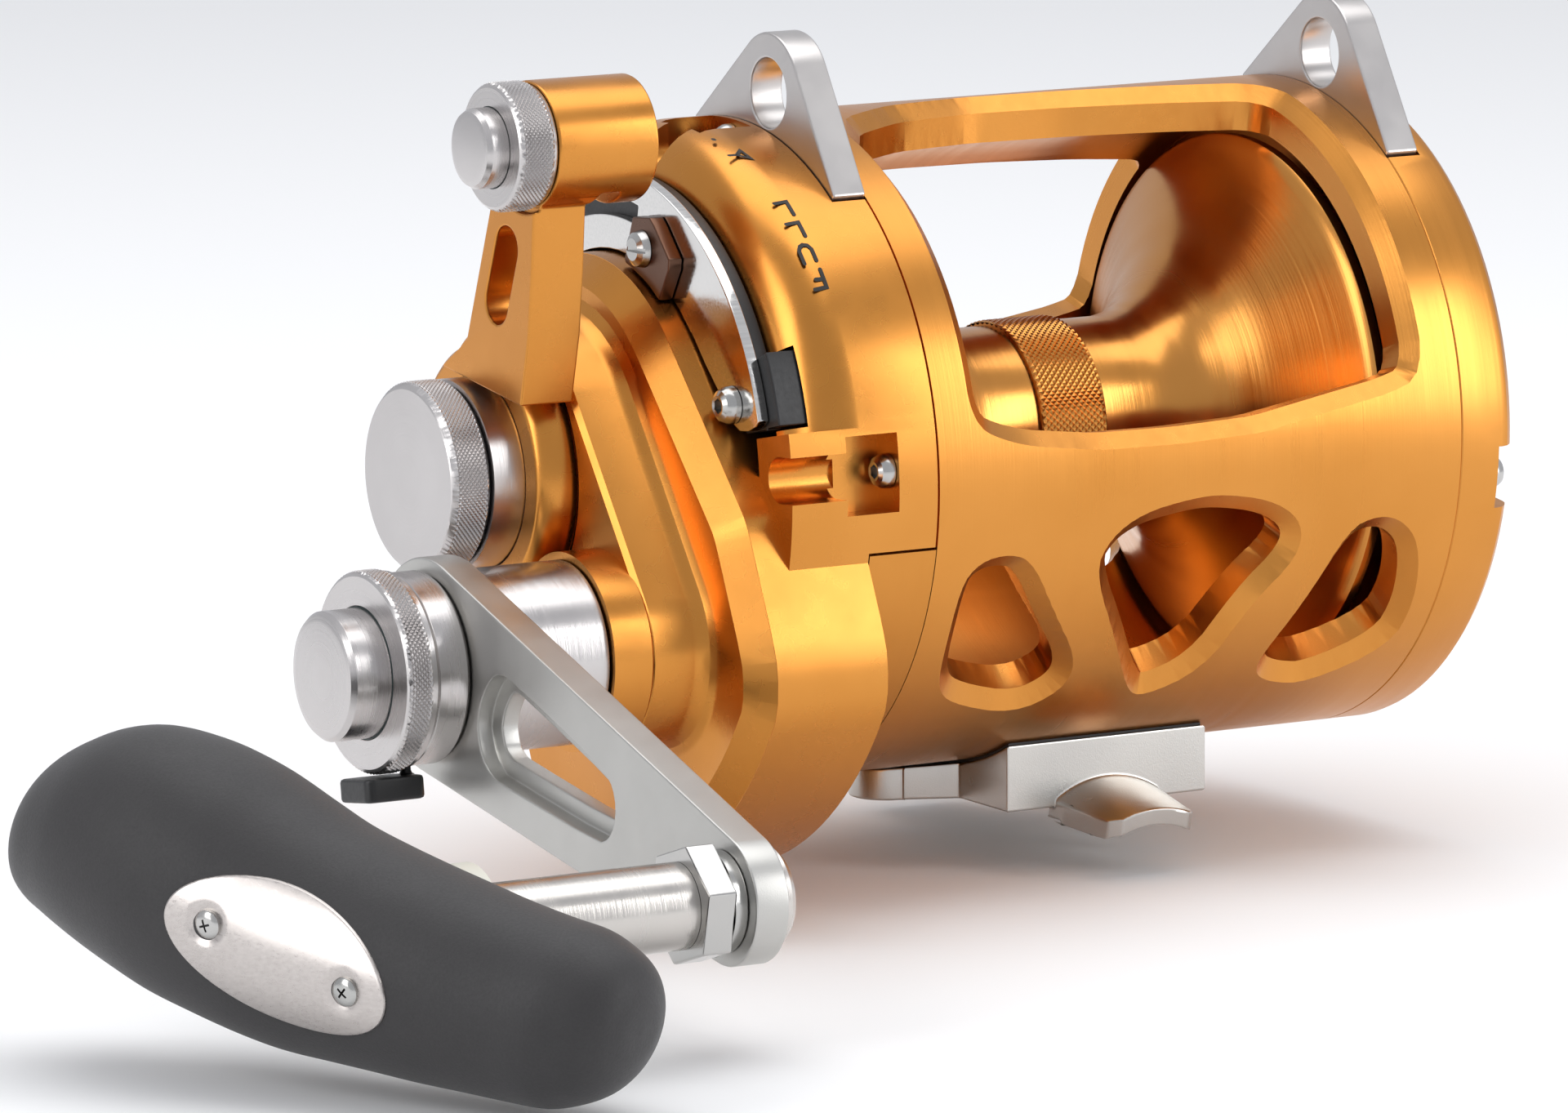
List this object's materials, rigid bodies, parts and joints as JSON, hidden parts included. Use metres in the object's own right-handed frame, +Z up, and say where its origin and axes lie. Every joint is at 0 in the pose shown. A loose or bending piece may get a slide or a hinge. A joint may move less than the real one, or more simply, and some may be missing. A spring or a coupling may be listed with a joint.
{
  "type": "trolling reel",
  "caption": "Lever drag trolling fishing reel: one-piece frame with a spool, cranked grip, drag lever on a quadrant, harness lugs and a rod clamp foot.",
  "frame": {"origin": "centre between the two clamp stud holes of the foot, on the foot's lower face", "axes": "+X along the spool from the handle side to the far side, +Y to the rear, towards the angler, +Z up away from the rod"},
  "size_m": [0.2543, 0.1943, 0.1217],
  "materials": {
    "gold_anodised": "satin anodised",
    "gold_dark": "satin anodised",
    "silver_anodised": "satin anodised",
    "stainless": "brushed",
    "polished_stainless": "polished",
    "gear_steel": "machined",
    "strike_bronze": "satin dark bronze",
    "black_anodised": "satin black",
    "black_plastic": "matt",
    "seal_rubber": "matt",
    "grip_rubber": "soft matt",
    "bushing_plastic": "matt",
    "drag_lining": "woven carbon"
  },
  "bodies": {
    "reel_body": {"frame": "gold_anodised", "handle_plate": "gold_anodised", "rim_insert": "gold_dark", "far_plate": "gold_anodised", "foot": "silver_anodised", "foot_gasket": "seal_rubber", "foot_screws": "stainless", "lug_near": "silver_anodised", "lug_far": "silver_anodised", "plate_screws_near": "stainless", "plate_screws_far": "stainless", "quadrant": "polished_stainless", "quadrant_base": "black_plastic", "quadrant_screws": "stainless", "strike_stop": "strike_bronze", "strike_screw": "stainless", "bridge_plate": "gear_steel", "bridge_screws": "stainless", "handle_bearings": "gear_steel", "shaft_bearings": "gear_steel", "spool_shaft": "gear_steel", "far_cap": "gold_anodised", "hub_seal": "seal_rubber", "cam_follower": "gear_steel", "spring_washers": "gear_steel"},
    "spool_body": {"spool": "gold_anodised", "drag_washer": "drag_lining", "click_gear": "gear_steel", "spool_bearings": "gear_steel"},
    "drive_body": {"pressure_plate": "gear_steel", "pinion": "gear_steel"},
    "low_gear_body": {"gear_low": "gear_steel"},
    "crank_body": {"handle_shaft": "gear_steel", "crank_sleeve": "silver_anodised", "crank_arm": "silver_anodised", "hub_ring": "silver_anodised", "handle_nut": "silver_anodised", "ratchet": "gear_steel", "gear_high": "gear_steel", "spindle": "silver_anodised", "spindle_nut": "stainless"},
    "grip_body": {"grip": "grip_rubber", "grip_bushing": "bushing_plastic", "badge": "silver_anodised", "badge_screws": "stainless"},
    "shift_button_body": {"shift_button": "silver_anodised"},
    "shift_tab_body": {"shift_tab": "black_plastic"},
    "lever_body": {"lever": "gold_anodised", "lever_collar": "silver_anodised", "drag_cam": "gear_steel"},
    "lever_button_body": {"lever_button": "silver_anodised"},
    "preset_body": {"preset_knob": "silver_anodised", "knob_collar": "silver_anodised"},
    "click_body": {"click_button": "silver_anodised"},
    "dog_body": {"anti_reverse_dog": "gear_steel"}
  },
  "joints": [
    {"name": "spool_spin", "type": "hinge", "parent": "reel_body", "child": "spool_body", "pos_m": [0, 0, 0.053], "axis": [1, 0, 0], "continuous": true},
    {"name": "drive_spin", "type": "hinge", "parent": "reel_body", "child": "drive_body", "pos_m": [-0.065, 0, 0.053], "axis": [1, 0, 0], "continuous": true},
    {"name": "low_gear_spin", "type": "hinge", "parent": "reel_body", "child": "low_gear_body", "pos_m": [-0.067, -0.026, 0.031], "axis": [1, 0, 0], "continuous": true},
    {"name": "crank_spin", "type": "hinge", "parent": "reel_body", "child": "crank_body", "pos_m": [-0.09, -0.026, 0.031], "axis": [1, 0, 0], "continuous": true},
    {"name": "grip_spin", "type": "hinge", "parent": "crank_body", "child": "grip_body", "pos_m": [-0.16, -0.10769, 0.01143], "axis": [1, 0, 0], "continuous": true},
    {"name": "shift_button_press", "type": "slide", "parent": "crank_body", "child": "shift_button_body", "axis": [1, 0, 0], "range_m": [0, 0.002], "stiffness_N_per_m": 600, "springref_m": -0.001},
    {"name": "shift_tab_slide", "type": "slide", "parent": "crank_body", "child": "shift_tab_body", "axis": [0, -0.1392, -0.9903], "range_m": [0, 0.0015]},
    {"name": "lever_swing", "type": "hinge", "parent": "reel_body", "child": "lever_body", "pos_m": [-0.089, 0, 0.053], "axis": [1, 0, 0], "range_deg": [-75, 40]},
    {"name": "lever_button_press", "type": "slide", "parent": "lever_body", "child": "lever_button_body", "axis": [1, 0, 0], "range_m": [0, 0.002], "stiffness_N_per_m": 600, "springref_m": -0.001},
    {"name": "preset_turn", "type": "hinge", "parent": "lever_body", "child": "preset_body", "pos_m": [-0.098, 0, 0.053], "axis": [1, 0, 0], "range_deg": [-270, 270]},
    {"name": "click_slide", "type": "slide", "parent": "reel_body", "child": "click_body", "axis": [-1, 0, 0], "range_m": [0, 0.002]},
    {"name": "dog_pivot", "type": "hinge", "parent": "reel_body", "child": "dog_body", "pos_m": [-0.056, -0.024, 0.0506], "axis": [1, 0, 0], "range_deg": [-6, 10], "stiffness_Nm_per_rad": 0.002}
  ],
  "couplings": [
    {"joint": "drive_spin", "follows": "spool_spin", "ratio": 1},
    {"joint": "low_gear_spin", "follows": "spool_spin", "ratio": -0.84615},
    {"joint": "crank_spin", "follows": "spool_spin", "ratio": -0.56522}
  ]
}
